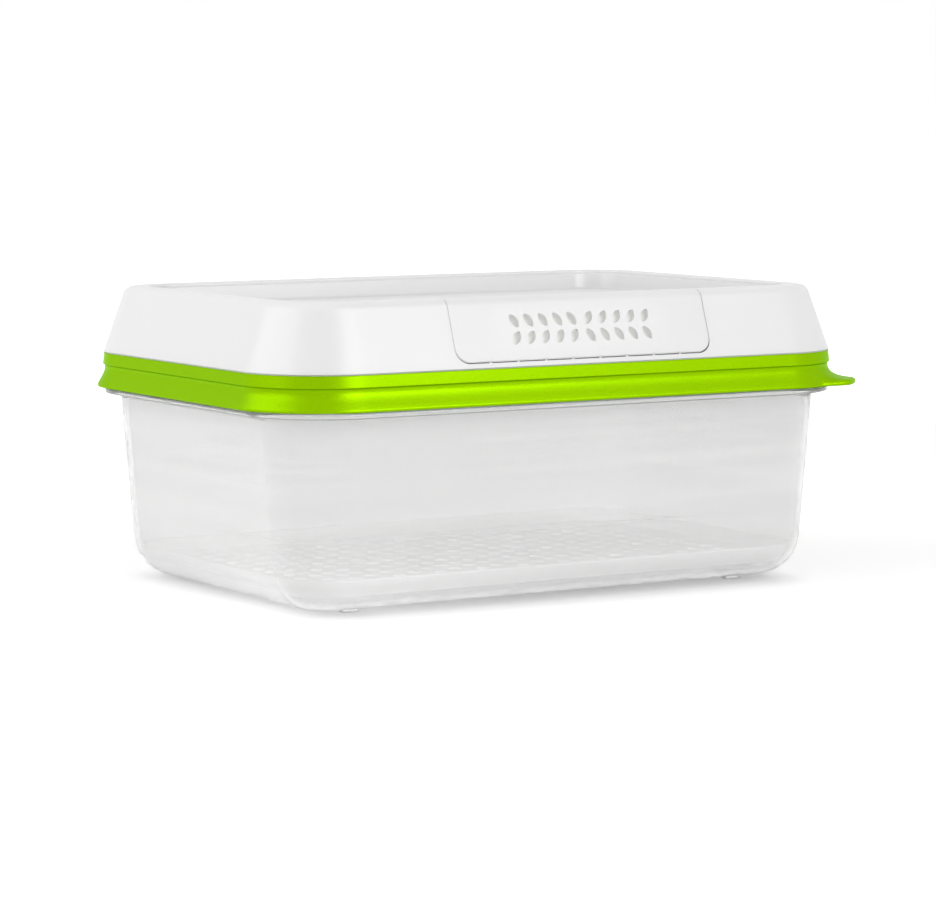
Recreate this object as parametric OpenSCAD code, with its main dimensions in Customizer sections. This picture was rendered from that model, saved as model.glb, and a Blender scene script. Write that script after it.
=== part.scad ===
// Produce keeper: a frosted base with a perforated tray, under a vented lid with a soft rim.
// The origin is the centre of the footprint on the surface that the box stands on, +Z up.
// The front, with the vent, faces -Y.

/* [Overall] */
// Length over the flange of the base
rim_l = 310; // [290:1:340]
// Width over the flange of the base
rim_w = 217; // [200:1:240]
// Corner radius of the flange, seen from above
corner_r = 40; // [34:1:44]
// Segments in a full turn of the round corners
corner_fn = 96; // [48:8:160]

/* [Base] */
// Height of the underside of the base above the surface, which is the height of its feet
foot_h = 1.5; // [1:0.1:3]
// Wall thickness of the base
base_wall = 2.2; // [1.8:0.1:2.6]
// Height of the top of the flange
flange_z = 93.4; // [85:0.5:110]
// Thickness of the flange at its edge
flange_t = 2.8; // [2:0.1:3.4]
// How far the flange stands out from the wall
flange_out = 7.6; // [6.5:0.1:8.4]
// Radius between the floor and the wall of the base, outside
bottom_r = 21; // [16:0.5:23]
// Draft of the base wall, in degrees from upright
base_draft = 4.6; // [3:0.1:5.5]
// Height of the rim that stands up from the flange into the lid
upstand_h = 10; // [8:0.5:11]
// Height of the fine moulded line inside the wall
wall_line_z = 35.1; // [28:0.5:60]
// How far the fine moulded line stands in from the wall
wall_line_h = 0.3; // [0.2:0.1:0.8]
// Length of each foot pad
foot_l = 9; // [6:0.5:12]
// Width of each foot pad
foot_w = 4.6; // [3:0.2:5]
// Chamfer round the foot pads
foot_chamfer = 0.9; // [0.4:0.1:1]

/* [Tray] */
// Height of the top face of the tray above the surface
tray_z = 11.3; // [9.5:0.1:16]
// Thickness of the tray
tray_t = 1.8; // [1.4:0.1:2.2]
// Height of the upturned edge above the top face
tray_edge_h = 6; // [4:0.5:9]
// Gap between the tray's edge and the base
tray_gap = 1.2; // [0.8:0.1:2]
// Diameter of the tray holes
hole_d = 6.4; // [5:0.1:8]
// Distance between neighbouring holes
hole_pitch = 13; // [11:0.5:16]
// Width of the plain border inside the tray's edge
hole_border = 9; // [7:0.5:16]
// Diameter of the legs under the tray
leg_d = 6; // [4:0.5:7]
// Diameter of the shallow finger dimple in the middle of the tray
dimple_d = 9; // [8:0.5:11]

/* [Lid shell] */
// Height of the seam between the soft rim and the shell
seam_z = 110.5; // [108.5:0.5:130]
// Height of the shell above the seam
shell_h = 31; // [26:0.5:40]
// Slope of the shell's outer wall, in degrees from upright
shell_draft = 19.3; // [14:0.1:20]
// Wall thickness of the shell
shell_t = 2.2; // [1.8:0.1:2.6]
// Radius of the rolled edge at the top of the shell
roll_r = 5; // [3.5:0.5:6]
// Width of the flat land round the recess
land_w = 8; // [6:0.5:9]
// Depth of the recessed deck below the land
deck_depth = 9.5; // [7:0.5:13]
// Draft of the recess wall, in degrees from upright
recess_draft = 9; // [4:0.5:14]
// Depth of the small step round the mouth of the recess
step_h = 1.8; // [1:0.1:3]
// Width of the small step round the mouth of the recess
step_w = 1.2; // [0.8:0.1:2]

/* [Soft rim] */
// How far the lip of the skirt stands out past the flange
lip_out = 3.4; // [2:0.1:5]
// Gap between the lip and the flange
lip_gap = 0.4; // [0.3:0.1:0.8]
// Thickness of the skirt near its lip
skirt_t = 1.8; // [1.4:0.1:2.2]
// How far the upper band stands out past the flange
band_out = 0.8; // [0.4:0.1:1.2]
// Radius of the hollow flare of the skirt, in section
flare_r = 9; // [7:0.5:14]
// Depth of the crease between the upper band and the skirt, below the seam
crease_drop = 6.5; // [6:0.5:7.5]
// Running gap between the rim's channel and the base's upstand
channel_gap = 0.3; // [0.25:0.05:0.5]
// How far the sealing lip reaches down inside the base
plug_h = 6.5; // [4:0.5:8]
// Thickness of the sealing lip inside the base
plug_t = 1.6; // [1.2:0.1:2]
// Depth of the shell's foot in the soft rim
tongue_h = 3.6; // [2.5:0.1:3.8]
// How far the lift tab stands out past the lip
tab_out = 10; // [6:0.5:16]
// Width of the lift tab at its root
tab_w = 34; // [24:1:40]
// Height of the lift tab with its turned-down edge
tab_h = 4.4; // [3.6:0.2:5]
// Thickness of the lift tab
tab_t = 1.8; // [1.4:0.1:2.2]
// Radius of the hollow sweep from the skirt out to the lift tab
tab_sweep_r = 5.6; // [4.5:0.1:5.8]

/* [Vent] */
// Length of the vent cover
cover_l = 137; // [125:1:160]
// Thickness of the vent cover
cover_t = 1.8; // [1.4:0.1:2.2]
// Gap round the vent cover
cover_gap = 0.3; // [0.2:0.05:0.6]
// Height of the foot of the vent cover above the seam
cover_rise = 3; // [2:0.5:5]
// Radius of the lower corners of the vent cover
cover_r = 7; // [4:0.5:10]
// Height of the air slot under the vent cover
slot_h = 0.8; // [0.6:0.1:1.4]
// Number of bridges across the air slot
bridge_n = 8; // [6:1:10]
// Distance between the bridges
bridge_pitch = 14.6; // [10:0.1:16]
// Length of each leaf-shaped hole
leaf_l = 7.1; // [5:0.1:8]
// Width of each leaf-shaped hole
leaf_w = 3.9; // [2.5:0.1:4.2]
// Lean of each leaf-shaped hole, in degrees
leaf_lean = 32; // [0:1:36]
// Number of leaf-shaped holes in each half row
leaf_n = 5; // [3:1:6]
// Distance between the leaf-shaped holes
leaf_pitch = 7.7; // [6.5:0.1:9]
// Distance between the two middle holes of a row
leaf_mid = 8.9; // [7:0.1:12]
// Distance between the two rows of holes, along the sloping wall
leaf_rows = 8.1; // [7.8:0.1:9]
// Height of the middle of the leaf pattern above the seam
leaf_rise = 16.5; // [14:0.5:18]
// Air space between the vent cover and the filter
air_gap = 1.8; // [1:0.1:2.5]
// Thickness of the filter
filter_t = 0.5; // [0.3:0.1:0.8]
// Margin of the filter round its window
filter_margin = 4; // [3:0.5:6]

/* [Hidden] */
over = 1;
// A straight wall that meets an arc cuts it this far inside the tangent, so that they cross cleanly
dip = 0.01;
arc_fn = 96;
small_fn = 32;
edge_ease = 0.5;

// All rings are swept round the same four corner centres. In a section, x is the distance
// out from the corner centre and y is the height.
half_cx = rim_l / 2 - corner_r;
half_cy = rim_w / 2 - corner_r;

// Base: straight outer wall line, tangent to the bottom radius
wall_top_r = corner_r - flange_out;
wall_slope = tan(base_draft);
flange_low_z = flange_z - flange_t;
// The bottom radius is limited by the room inside the corner
corner_room = (wall_top_r - wall_slope * (flange_low_z - foot_h) - over) / (1 / cos(base_draft) - wall_slope);
round_r = min(bottom_r, corner_room);
bend_z = foot_h + round_r;
bend_r = wall_top_r - wall_slope * (flange_low_z - bend_z) - round_r / cos(base_draft);
upstand_z = flange_z + upstand_h;
upstand_shift = 2.2;
upstand_r = wall_top_r + upstand_shift;
mouth_in_r = upstand_r - base_wall;
bead_out = 0.8;
bead_z = upstand_z - 3;
bead_half_h = 0.5;
bead_ramp = 2;
flange_root = 2;
flange_ease = 0.5;
floor_z = foot_h + base_wall;
foot_set = 10;

// Tray: its edge follows the inside of the bottom radius
function bowl_r(z, inset) = bend_r + sqrt(pow(round_r - inset, 2) - pow(bend_z - min(z, bend_z), 2));
tray_low_z = tray_z - tray_t;
tray_inset = base_wall + tray_gap;
tray_edge_z = tray_z + tray_edge_h;
tray_flat_r = bowl_r(tray_low_z, tray_inset) - over;
hole_x_end = half_cx + tray_flat_r - hole_border - hole_d / 2;
hole_y_end = half_cy + tray_flat_r - hole_border - hole_d / 2;
hole_corner_r = 20;
dimple_depth = 0.6;
row_step = hole_pitch * sqrt(3) / 2;
leg_row = 2 * floor((half_cx - leg_d) / (2 * row_step));
leg_y = (floor((half_cy - leg_d) / hole_pitch - 0.5) + 0.5) * hole_pitch;

// Shell: straight sloping wall, rolled edge, land, step, recess wall and deck
seam_step = 0.4;
shell_foot_r = corner_r + band_out - seam_step;
shell_slope = tan(shell_draft);
top_z = seam_z + shell_h;
roll_z = top_z - roll_r;
roll_c = shell_foot_r - shell_slope * (roll_z - seam_z) - roll_r / cos(shell_draft);
mouth_r = roll_c - land_w;
deck_z = top_z - deck_depth;
recess_slope = tan(recess_draft);
recess_foot_r = mouth_r - step_w - recess_slope * (deck_depth - step_h);

// Soft rim
band_r = corner_r + band_out;
band_lean = 0.7;
crease_z = seam_z - crease_drop;
crease_in = 0.9;
ridge_rise = 1.2;
lip_low_z = flange_z + lip_gap;
lip_r = corner_r + lip_out;
// The flare is an arc from the crease to the lip, hollow towards the outside
crease = [band_r - crease_in, crease_z];
lip_top = [lip_r, lip_low_z + 1.3];
flare_chord = lip_top - crease - [dip, 0];
flare_half = norm(flare_chord) / 2;
flare_aim = [-flare_chord.y, flare_chord.x] / norm(flare_chord);
flare_centre = (crease + lip_top) / 2 + flare_aim * sqrt(pow(flare_r, 2) - pow(flare_half, 2));
channel_r = upstand_r + bead_out + channel_gap;
channel_top_z = upstand_z + channel_gap;
plug_r = upstand_r - base_wall - channel_gap;
web_t = 2.2;
tab_root = 6.5;
tab_sink = 0.3;
tab_round = 1.8;
tab_low_z = lip_low_z + edge_ease / 2;
tab_top_z = lip_low_z + tab_h;
tongue_set = 0.3;
tongue_r = shell_foot_r - shell_t / cos(shell_draft) + tongue_set;
tongue_t = 1.3;
edge_chamfer = 0.5;

// Vent: the pocket is an inward offset of the shell over part of the front
pocket_depth = cover_t + air_gap + filter_t;
liner_t = 1.8;
seat_gap = 0.05;
rib_t = 1.4;
rib_set = 4;
bridge_w = 1.2;
cover_foot_z = seam_z + cover_rise;
pocket_low_z = cover_foot_z - slot_h;
pocket_l = cover_l + 2 * cover_gap;
pocket_end_r = mouth_r + shell_t;
leaf_field_l = leaf_mid + 2 * (leaf_n - 1) * leaf_pitch + leaf_l;
window_margin = 2;
window_l = leaf_field_l + 2 * window_margin;
window_h = leaf_rows + leaf_l + window_margin;
window_rib_n = 5;
window_rib_t = 1.2;
filter_l = window_l + 2 * filter_margin;
filter_h = window_h + filter_margin;

// Sweeps a section round the four corner centres
module around() {
    for (turn = [0, 180])
        rotate(turn) {
            translate([half_cx, half_cy]) rotate_extrude(angle = 90, $fn = corner_fn) children();
            translate([-half_cx, half_cy]) rotate(90) rotate_extrude(angle = 90, $fn = corner_fn) children();
            translate([half_cx, half_cy]) rotate([90, 0, 0]) linear_extrude(2 * half_cy) children();
            translate([-half_cx, half_cy]) rotate([90, 0, 90]) linear_extrude(2 * half_cx) children();
        }
}

// Flat plate over the middle, between the corner centres
module middle(z_low, z_high) {
    translate([-half_cx, -half_cy, z_low]) cube([2 * half_cx, 2 * half_cy, z_high - z_low]);
}

// Section of the bowl of the base from its middle out to a wall that is set in by inset
module bowl_section(inset, high) {
    r = round_r - inset;
    bend_end = [bend_r + (r - dip) * cos(base_draft), bend_z - (r - dip) * sin(base_draft)];
    intersection() {
        translate([bend_r, bend_z]) circle(r, $fn = arc_fn);
        translate([0, foot_h]) square([corner_r, round_r]);
    }
    polygon([
        [0, foot_h + inset],
        [bend_r, foot_h + inset],
        [bend_r, bend_z],
        bend_end,
        [bend_end.x + wall_slope * (high - bend_end.y), high],
        [0, high]
    ]);
}

// Section of the flange and of the upstand that enters the lid
module base_rim_section() {
    polygon([
        [wall_top_r - base_wall, flange_low_z - flange_root],
        [wall_top_r - base_wall / 2, flange_low_z - flange_root],
        [wall_top_r + flange_root / 2, flange_low_z],
        [corner_r - flange_ease, flange_low_z],
        [corner_r, flange_low_z + flange_ease],
        [corner_r, flange_z - flange_ease],
        [corner_r - flange_ease, flange_z],
        [upstand_r, flange_z],
        [upstand_r, bead_z - bead_half_h - bead_ramp],
        [upstand_r + bead_out, bead_z - bead_half_h],
        [upstand_r + bead_out, bead_z + bead_half_h],
        [upstand_r - flange_ease, upstand_z],
        [wall_top_r - base_wall, upstand_z]
    ]);
}

// Section of the space inside the base: the bowl, a short slope and the upright mouth
module base_hollow_section() {
    slope_low_z = flange_low_z - base_wall;
    bowl_section(base_wall, flange_z - over);
    polygon([
        [0, slope_low_z],
        [wall_top_r - base_wall / cos(base_draft) - 2 * wall_slope * base_wall, slope_low_z],
        [mouth_in_r, flange_z + base_wall / 2],
        [mouth_in_r, upstand_z - edge_ease],
        [mouth_in_r + edge_ease + over, upstand_z + over],
        [0, upstand_z + over]
    ]);
}

module foot_pad() {
    pad_l = foot_l - 2 * foot_chamfer;
    pad_w = foot_w - 2 * foot_chamfer;
    foot_sink = 0.2;
    hull() {
        translate([-pad_l / 2, -pad_w / 2, 0]) cube([pad_l, pad_w, foot_h]);
        translate([-foot_l / 2, -foot_w / 2, foot_chamfer])
            cube([foot_l, foot_w, foot_h - foot_chamfer + foot_sink]);
    }
}

module base() {
    line_r = bend_r + (round_r - base_wall) / cos(base_draft) + wall_slope * (wall_line_z - bend_z);
    line_root = 0.3;
    line_half_h = 0.9;
    color([0.88, 0.89, 0.89, 0.4]) {
        around() {
            difference() {
                union() {
                    bowl_section(0, flange_z - over);
                    base_rim_section();
                }
                base_hollow_section();
            }
            polygon([
                [line_r + line_root, wall_line_z - line_half_h],
                [line_r + line_root, wall_line_z + line_half_h],
                [line_r - wall_line_h, wall_line_z]
            ]);
        }
        middle(foot_h, floor_z);
        for (sx = [-1, 1], sy = [-1, 1])
            translate([sx * (half_cx - foot_set), sy * (half_cy + bend_r - foot_w / 2 + 0.4)]) foot_pad();
    }
}

// True where a hole of the tray lies inside the rounded field of holes
function in_field(x, y) =
    abs(x) <= hole_x_end && abs(y) <= hole_y_end
    && norm([max(abs(x) - hole_x_end + hole_corner_r, 0), max(abs(y) - hole_y_end + hole_corner_r, 0)])
        <= hole_corner_r;

module tray_holes() {
    rows = floor(hole_x_end / row_step);
    for (i = [-rows : rows]) {
        shift = i % 2 == 0 ? 0 : hole_pitch / 2;
        count = ceil(hole_y_end / hole_pitch);
        for (j = [-count : count]) {
            spot = [i * row_step, j * hole_pitch + shift];
            if (in_field(spot.x, spot.y) && norm(spot) > hole_pitch / 2)
                translate(spot) circle(d = hole_d, $fn = 16);
        }
    }
}

module tray_edge_section() {
    r = round_r - tray_inset;
    edge_r = bowl_r(tray_edge_z, tray_inset);
    difference() {
        intersection() {
            translate([bend_r, bend_z]) circle(r, $fn = arc_fn);
            translate([tray_flat_r - 3, tray_low_z]) square([corner_r, tray_edge_z - tray_low_z]);
        }
        translate([bend_r, bend_z]) circle(r - tray_t, $fn = arc_fn);
    }
}

module crisper_tray() {
    color([0.93, 0.94, 0.94, 0.6]) {
        around() tray_edge_section();
        difference() {
            translate([0, 0, tray_low_z]) linear_extrude(tray_t) difference() {
                union() {
                    for (sx = [-1, 1], sy = [-1, 1])
                        translate([sx * half_cx, sy * half_cy]) circle(tray_flat_r, $fn = corner_fn);
                    square([2 * (half_cx + tray_flat_r), 2 * half_cy], center = true);
                    square([2 * half_cx, 2 * (half_cy + tray_flat_r)], center = true);
                }
                tray_holes();
            }
            translate([0, 0, tray_z - dimple_depth]) cylinder(h = over, d = dimple_d, $fn = small_fn);
        }
        // Each leg stands where three holes leave room for it
        for (sx = [-1, 1], sy = [-1, 1])
            translate([sx * (leg_row + 1 / 3) * row_step, sy * leg_y, floor_z])
                cylinder(h = tray_low_z - floor_z + over, d = leg_d, $fn = small_fn);
    }
}

// Section under the outer wall, rolled edge and land of the lid, set in by inset, down to low
module lid_outer_section(inset, low) {
    r = max(roll_r - inset, 0.5);
    c_z = top_z - inset - r;
    c_r = shell_foot_r - shell_slope * (c_z - seam_z) - (inset + r) / cos(shell_draft);
    roll_end = [c_r + (r - dip) * cos(shell_draft), c_z + (r - dip) * sin(shell_draft)];
    translate([c_r, c_z]) circle(r, $fn = arc_fn);
    polygon([
        [0, low],
        [roll_end.x + shell_slope * (roll_end.y - low), low],
        roll_end,
        [c_r, c_z],
        [c_r, top_z - inset],
        [0, top_z - inset]
    ]);
}

// The same section less the recess of the deck
module lid_section(inset, low) {
    difference() {
        lid_outer_section(inset, low);
        polygon([
            [-over, top_z + over],
            [mouth_r + inset, top_z + over],
            [mouth_r + inset, top_z - step_h - inset],
            [mouth_r - step_w + inset, top_z - step_h - inset],
            [recess_foot_r + inset, deck_z - inset],
            [-over, deck_z - inset]
        ]);
    }
}

// Slab over the front wall of the lid, from a height up and over its land
module front_zone(length, low, corner) {
    high = 2 * shell_h;
    translate([0, -half_cy + 2]) rotate([90, 0, 0]) linear_extrude(corner_r + 12) {
        translate([-length / 2, low + corner]) square([length, high]);
        translate([-length / 2 + corner, low]) square([length - 2 * corner, high]);
        for (s = [-1, 1])
            translate([s * (length / 2 - corner), low + corner]) circle(corner, $fn = arc_fn);
    }
}

// Moves a flat drawing on to the front wall: x along the wall, y up the slope, z out of the wall,
// with the origin at a height on the outer face
module on_front(height) {
    wall_y = -half_cy - shell_foot_r + shell_slope * (height - seam_z);
    translate([0, wall_y, height]) rotate([90 - shell_draft, 0, 0]) children();
}

// Layer of the lid's front between two depths under its outer surface, from end_r outwards
module front_layer(depth_out, depth_in, length, end_r) {
    translate([-length / 2, 0, 0]) rotate([90, 0, 90]) linear_extrude(length) mirror([1, 0])
        translate([half_cy, 0]) intersection() {
            difference() {
                lid_outer_section(depth_out, seam_z - over);
                lid_outer_section(depth_in, seam_z - 2 * over);
            }
            translate([end_r, seam_z]) square([corner_r, shell_h + 10]);
        }
}

module lid_shell() {
    color([0.96, 0.96, 0.96]) difference() {
        union() {
            around() shell_section();
            middle(deck_z - shell_t, deck_z);
            vent_tub();
        }
        vent_pocket();
        on_front(seam_z + leaf_rise) window_cut();
    }
}

module shell_section() {
    difference() {
        lid_section(0, seam_z);
        lid_section(shell_t, seam_z - over);
        translate([shell_foot_r - edge_chamfer, seam_z - over]) square([over, over + 0.4]);
    }
    translate([tongue_r, seam_z - tongue_h]) square([tongue_t, tongue_h + 1]);
}

// Tub moulded behind the front wall, which the vent cover drops into
module vent_tub() {
    intersection() {
        front_zone(pocket_l + 2 * liner_t, pocket_low_z - liner_t, cover_r + cover_gap + liner_t);
        front_layer(shell_t / 2, pocket_depth + liner_t, pocket_l + 2 * liner_t, mouth_r + 0.5);
    }
}

module vent_pocket() {
    intersection() {
        front_zone(pocket_l, pocket_low_z, cover_r + cover_gap);
        front_layer(-2 * over, pocket_depth, pocket_l, pocket_end_r);
    }
}

// Cells of the window behind the filter, with ribs left between them
module window_cut() {
    step = window_l / (window_rib_n + 1);
    cell = step - window_rib_t;
    for (i = [0 : window_rib_n])
        translate([-window_l / 2 + (i + 0.5) * step - cell / 2, -window_h / 2, -pocket_depth - 2 * liner_t])
            cube([cell, window_h, 3 * liner_t]);
}

module soft_rim() {
    color([0.58, 0.83, 0.1]) {
        around() rim_section();
        lift_tab();
    }
}

// Channel over the base's upstand, sealing lip, upper band and flared skirt
module rim_section() {
    difference() {
        polygon([
            [plug_r - plug_t, channel_top_z - plug_h],
            [plug_r - edge_ease, channel_top_z - plug_h],
            [plug_r, channel_top_z - plug_h + 2 * edge_ease],
            [plug_r, channel_top_z],
            [channel_r, channel_top_z],
            [channel_r, flange_z + upstand_h / 2],
            [lip_r - skirt_t, lip_low_z],
            [lip_r - edge_ease, lip_low_z],
            [lip_r, lip_low_z + edge_ease],
            [lip_r, crease_z],
            [band_r, crease_z + ridge_rise / 2],
            [band_r - band_lean, seam_z - band_lean],
            [band_r - 2 * band_lean, seam_z],
            [tongue_r, seam_z],
            [tongue_r - edge_ease, channel_top_z + web_t],
            [plug_r - plug_t, channel_top_z + web_t]
        ]);
        intersection() {
            translate(flare_centre) circle(flare_r, $fn = arc_fn);
            translate([crease.x - 1, lip_low_z]) square([2 * flare_r, crease_z - 0.5 - lip_low_z]);
        }
        // Under the ridge of the upper band
        polygon([
            crease + [0, -1],
            crease + [2 * flare_r, -1],
            crease + [4 * crease_in, 4 * ridge_rise],
            crease
        ]);
        translate([tongue_r - over, seam_z - tongue_h - seat_gap])
            square([tongue_t + over + seat_gap, tongue_h + over]);
    }
}

// Tongue at the front right corner: the skirt sweeps out into it, and its edge is turned down
module lift_tab() {
    translate([half_cx, -half_cy]) rotate(-45) difference() {
        intersection() {
            tab_turn() tab_section();
            translate([0, 0, lip_low_z - over]) linear_extrude(crease_drop + tab_h) tab_plan(0);
        }
        intersection() {
            tab_turn() tab_hollow_section();
            translate([0, 0, lip_low_z - over]) linear_extrude(crease_drop + tab_h) tab_plan(tab_t);
        }
    }
}

// Turns a section through the span of the tab, round the corner centre
module tab_turn() {
    span = 80;
    rotate(-span / 2) rotate_extrude(angle = span, $fn = corner_fn) children();
}

// The tab in plan, set in by inset: it widens into the skirt
module tab_plan(inset) {
    tip_r = 8;
    tip_spread = 4;
    hull() {
        translate([lip_r - tab_root, -tab_w / 2 + inset]) square([over, tab_w - 2 * inset]);
        for (s = [-1, 1])
            translate([lip_r + tab_out - tip_r, s * tip_spread]) circle(tip_r - inset, $fn = small_fn);
    }
}

// Hollow sweep down the skirt, flat top and round tip
module tab_section() {
    tab_tip_r = lip_r + tab_out;
    sweep_c = [crease.x - tab_sink + tab_sweep_r, tab_top_z + tab_sweep_r];
    difference() {
        polygon([
            [lip_r - skirt_t / 2, tab_low_z],
            [tab_tip_r - edge_ease, tab_low_z],
            [tab_tip_r, tab_low_z + edge_ease],
            [tab_tip_r, tab_top_z - tab_round],
            [tab_tip_r - tab_round, tab_top_z - tab_sink],
            [sweep_c.x, tab_top_z + dip],
            [sweep_c.x, sweep_c.y],
            [crease.x - tab_sink, sweep_c.y],
            [crease.x - 3 * tab_sink, crease_z - tab_h]
        ]);
        intersection() {
            translate(sweep_c) circle(tab_sweep_r, $fn = arc_fn);
            translate([crease.x - tab_root, tab_top_z - over]) square(2 * tab_sweep_r);
        }
    }
}

// Space under the tab
module tab_hollow_section() {
    polygon([
        [lip_r, lip_low_z - over],
        [lip_r + tab_out - tab_t, lip_low_z - over],
        [lip_r + tab_out - tab_t, tab_top_z - tab_round - tab_t / 2],
        [lip_r + tab_out - tab_t - tab_round / 2, tab_top_z - tab_t],
        [lip_r, tab_top_z - tab_t]
    ]);
}

module leaf() {
    // A leaf is where two equal circles overlap
    leaf_r = (pow(leaf_l, 2) / 4 + pow(leaf_w, 2) / 4) / leaf_w;
    intersection_for (s = [-1, 1])
        translate([s * (leaf_r - leaf_w / 2), 0]) circle(leaf_r, $fn = small_fn * 2);
}

module leaf_field() {
    for (side = [-1, 1], row = [-1, 1], i = [0 : leaf_n - 1])
        translate([side * (leaf_mid / 2 + i * leaf_pitch), row * leaf_rows / 2])
            rotate(-side * row * leaf_lean) leaf();
}

module vent_cover() {
    color([0.97, 0.97, 0.97]) difference() {
        union() {
            intersection() {
                front_zone(cover_l, cover_foot_z, cover_r);
                front_layer(0, cover_t, cover_l, pocket_end_r + cover_gap);
            }
            cover_bridges();
            cover_ribs();
        }
        on_front(seam_z + leaf_rise) translate([0, 0, -cover_t - over]) linear_extrude(cover_t + 2 * over)
            leaf_field();
    }
}

// Bridges across the air slot, which rest on the ledge of the pocket
module cover_bridges() {
    for (i = [0 : bridge_n - 1])
        intersection() {
            translate([(i - (bridge_n - 1) / 2) * bridge_pitch - bridge_w / 2, -rim_w / 2 - 5, pocket_low_z])
                cube([bridge_w, corner_r, slot_h + 1]);
            front_layer(0.4, cover_t, cover_l, 0);
        }
}

// Ribs on the back of the vent cover, which stand on the floor of the pocket
module cover_ribs() {
    for (s = [-1, 1])
        translate([s * (cover_l / 2 - rib_set), 0]) intersection() {
            front_layer(cover_t - 0.3, pocket_depth - seat_gap, rib_t, pocket_end_r + cover_gap);
            translate([-rib_t, -rim_w, cover_foot_z + cover_r]) cube([2 * rib_t, rim_w, shell_h]);
        }
}

module vent_filter() {
    color([0.82, 0.82, 0.8]) on_front(seam_z + leaf_rise)
        translate([-filter_l / 2, -filter_h / 2, -pocket_depth]) cube([filter_l, filter_h, filter_t]);
}

base();
crisper_tray();
lid_shell();
soft_rim();
vent_cover();
vent_filter();
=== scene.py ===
import bmesh
import bpy
from math import acos, atan2, cos, hypot, pi, radians, sin, sqrt, tan
from mathutils import Matrix, Vector, geometry


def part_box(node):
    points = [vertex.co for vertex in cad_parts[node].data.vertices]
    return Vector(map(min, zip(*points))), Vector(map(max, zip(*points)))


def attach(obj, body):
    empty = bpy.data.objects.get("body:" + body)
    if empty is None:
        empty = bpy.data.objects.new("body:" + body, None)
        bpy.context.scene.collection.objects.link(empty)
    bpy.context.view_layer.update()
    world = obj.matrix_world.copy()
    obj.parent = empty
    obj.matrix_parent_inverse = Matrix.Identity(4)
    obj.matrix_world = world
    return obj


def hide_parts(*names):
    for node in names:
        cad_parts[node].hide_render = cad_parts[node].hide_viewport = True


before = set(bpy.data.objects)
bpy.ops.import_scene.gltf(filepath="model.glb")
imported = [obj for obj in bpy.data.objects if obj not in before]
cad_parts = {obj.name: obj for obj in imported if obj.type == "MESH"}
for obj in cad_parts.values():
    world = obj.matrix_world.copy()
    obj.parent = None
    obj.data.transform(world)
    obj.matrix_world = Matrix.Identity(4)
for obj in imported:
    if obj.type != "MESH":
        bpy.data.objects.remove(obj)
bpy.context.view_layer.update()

# Base: the open box that holds the food, injection moulded from natural polypropylene, which is
# clear with a little haze. Its flange carries the lid, and an upstand inside the flange enters the
# lid's soft rim. Lengths here and below are millimetres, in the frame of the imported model.
MM = 0.001
CORNER_RADIUS = 40
FLANGE_Z = 93.4
FLANGE_THICK = 2.8
WALL = 2.2
WALL_TOP_OUT = 32.4
WALL_DRAFT = radians(4.6)
FOOT_HIGH = 1.5
BOTTOM_ROUND = 21
UPSTAND_OUT = 34.6
UPSTAND_Z = 103.4
UPSTAND_BEAD = 0.8
MOULD_LINE_Z = 35.1
MOULD_LINE_HALF = 0.6
MOULD_LINE_PROUD = 0.07
_, base_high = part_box("base")
corner_x = base_high.x / MM - CORNER_RADIUS
corner_y = base_high.y / MM - CORNER_RADIUS
# Each corner centre's signs, and the direction in degrees at which its quarter turn starts
CORNERS = ((1, 1, 0), (-1, 1, 90), (-1, -1, 180), (1, -1, 270))
# Straight steps in an arc of under 1 mm, of under 4 mm and of more
SMALL_ARC, MIDDLE_ARC, LARGE_ARC = 3, 5, 14
# Points nearer to each other than this, in millimetres, are made one
SAME_POINT = 0.0005


def rounded_line(points, closed=False):
    """Line through points (out, up, round), with each corner turned into an arc of that radius."""
    line = []
    count = len(points)
    for i, (out, up, round_) in enumerate(points):
        here = Vector((out, up))
        if round_ == 0 or (not closed and i in (0, count - 1)):
            line.append(here)
            continue
        back = (Vector(points[i - 1][:2]) - here).normalized()
        ahead = (Vector(points[(i + 1) % count][:2]) - here).normalized()
        half = back.angle(ahead) / 2
        centre = here + (back + ahead).normalized() * (round_ / sin(half))
        first = here + back * (round_ / tan(half)) - centre
        last = here + ahead * (round_ / tan(half)) - centre
        start = atan2(first.y, first.x)
        turn = (atan2(last.y, last.x) - start + pi) % (2 * pi) - pi
        steps = SMALL_ARC if round_ < 1 else MIDDLE_ARC if round_ < 4 else LARGE_ARC
        for k in range(steps + 1):
            a = start + turn * k / steps
            line.append(centre + Vector((cos(a), sin(a))) * round_)
    return line


def wrap_round_box(bm, section_at, closed, steps):
    """Moulding of one section, taken round the four corner centres and along the sides between."""
    rings = []
    for sign_x, sign_y, start in CORNERS:
        for k in range(steps + 1):
            degrees = start + 90 * k / steps
            a = radians(degrees)
            centre = Vector((sign_x * corner_x, sign_y * corner_y, 0))
            ring = [centre + Vector((p.x * cos(a), p.x * sin(a), p.y))
                    for p in section_at(degrees)]
            rings.append([bm.verts.new(v) for v in ring])
    for ring, after in zip(rings, rings[1:] + rings[:1]):
        for i in range(len(ring) - (0 if closed else 1)):
            j = (i + 1) % len(ring)
            bm.faces.new((ring[i], ring[j], after[j], after[i]))


def close_middle(bm, up):
    """Flat panel between the four corner centres."""
    bm.faces.new([bm.verts.new((sx * corner_x, sy * corner_y, up)) for sx, sy, _ in CORNERS])


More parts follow.
